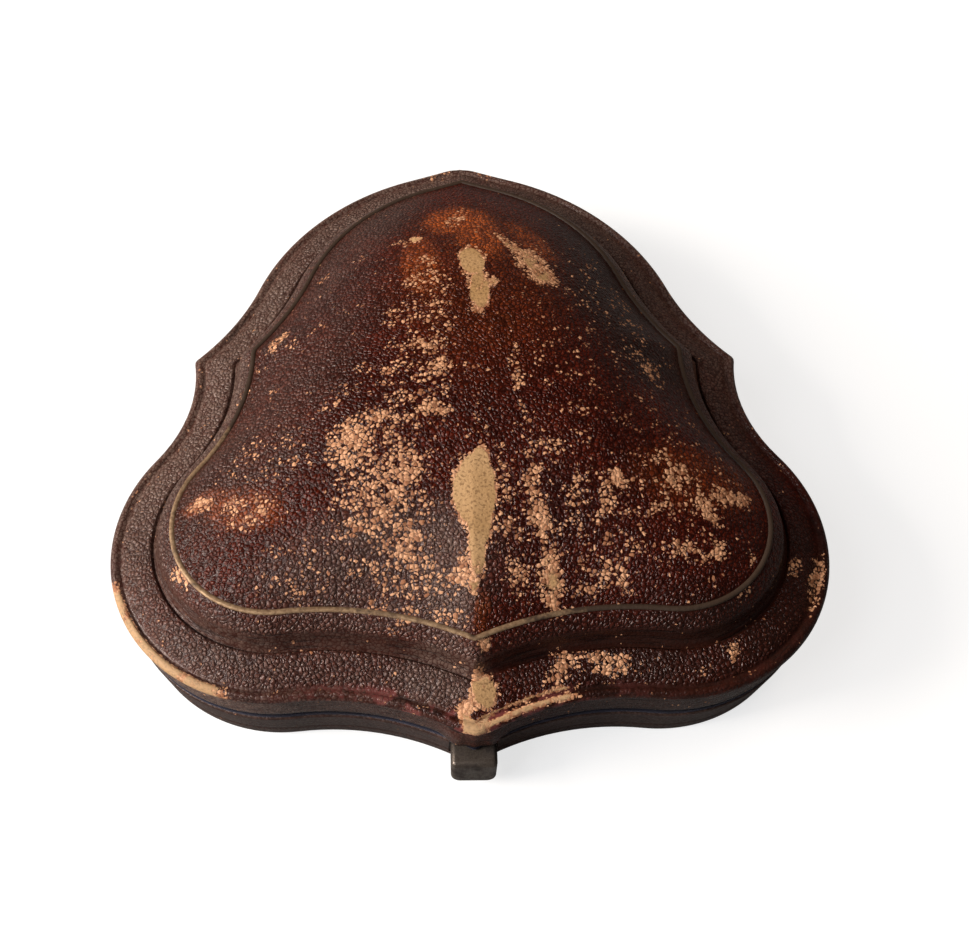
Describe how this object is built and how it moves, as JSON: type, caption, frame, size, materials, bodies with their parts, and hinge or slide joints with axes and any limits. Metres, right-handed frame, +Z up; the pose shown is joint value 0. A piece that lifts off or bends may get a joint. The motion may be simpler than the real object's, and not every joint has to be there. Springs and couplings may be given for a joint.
{
  "type": "jewellery presentation case",
  "caption": "Lobed, leather covered presentation case with a domed lid on a back hinge, a padded interior with jewel wells and a push button catch at the front point.",
  "frame": {"origin": "middle of the bounding box at the underside of the case", "axes": "+Z up, -Y towards the push button at the front point, +X to the right seen from the front"},
  "size_m": [0.1198, 0.1244, 0.04],
  "materials": {
    "leather": "dark oxblood brown morocco leather with a pebbled grain",
    "wood": "plain carved wood, unfinished",
    "paper": "dark paper covered card",
    "velvet": "navy velvet",
    "silk": "cream silk satin over padding",
    "card": "grey brown pulp board",
    "brass": "satin brass",
    "bronze": "dark tarnished bronze",
    "steel": "steel wire and strip"
  },
  "bodies": {
    "base": {"base_leather": "leather", "base_tray": "wood", "base_underside": "paper", "catch_housing": "brass", "catch_screw_left": "brass", "catch_screw_right": "brass", "hinge_leaf_base": "brass", "hinge_pin": "steel", "hinge_screw_base_left": "brass", "hinge_screw_base_right": "brass", "insert_board": "card", "jewel_pad": "velvet", "latch_spring": "steel", "velvet_lining": "velvet"},
    "lid": {"lid_shell": "wood", "lid_leather": "leather", "lid_border": "velvet", "lid_board": "card", "lid_silk": "silk", "hinge_leaf_lid": "brass", "hinge_screw_lid_left": "brass", "hinge_screw_lid_right": "brass", "strike_hook": "brass", "strike_screw_left": "brass", "strike_screw_right": "brass"},
    "button": {"push_button": "bronze", "latch_slide": "brass"}
  },
  "joints": [
    {"name": "lid_hinge", "type": "hinge", "parent": "base", "child": "lid", "pos_m": [0, 0.06072, 0.01075], "axis": [-1, 0, 0], "range_deg": [0, 95]},
    {"name": "button_slide", "type": "slide", "parent": "base", "child": "button", "axis": [0, 1, 0], "range_m": [0, 0.001], "stiffness_N_per_m": 400, "springref_m": -0.001, "deforming": ["latch_spring"]}
  ]
}
